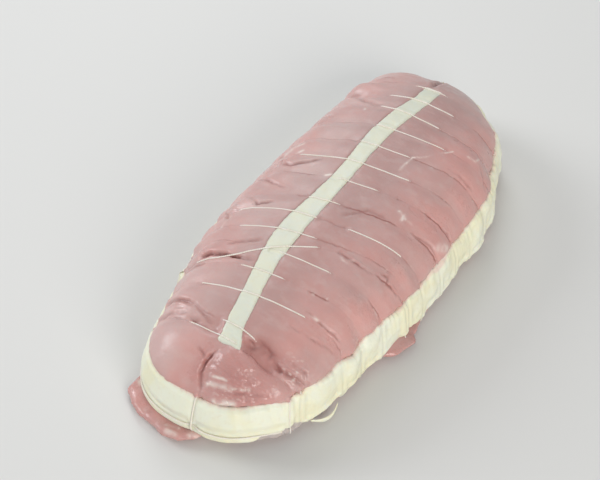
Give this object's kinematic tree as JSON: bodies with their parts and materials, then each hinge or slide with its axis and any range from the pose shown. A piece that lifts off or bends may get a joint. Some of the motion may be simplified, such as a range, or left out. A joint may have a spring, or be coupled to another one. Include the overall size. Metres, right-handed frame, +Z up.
{
  "type": "veal roast",
  "caption": "Long rolled veal roast, banded with white barding fat round its waist and along its top, and tied across with thin twine.",
  "frame": {"origin": "middle of the underside of the whole object's box, on the surface it rests on", "axes": "+X along the roast towards its narrower far end, +Y to its left flank, +Z up"},
  "size_m": [0.314, 0.1328, 0.0623],
  "materials": {
    "veal": "moist raw veal, satin with wet highlights",
    "barding_fat": "smooth cream fat, slightly waxy",
    "twine": "thin twisted cotton twine"
  },
  "bodies": {
    "root": {"veal": "veal", "bard_band": "barding_fat", "bard_strip": "barding_fat", "fat_sliver": "barding_fat", "twine_01": "twine", "twine_02": "twine", "twine_03": "twine", "twine_04": "twine", "twine_05": "twine", "twine_06": "twine", "twine_07": "twine", "twine_08": "twine", "twine_09": "twine", "twine_10": "twine", "twine_11": "twine", "twine_12": "twine", "twine_13": "twine", "twine_14": "twine", "twine_15": "twine", "twine_16": "twine", "twine_near_end": "twine", "twine_far_end": "twine", "twine_round_near_end": "twine"}
  },
  "joints": []
}
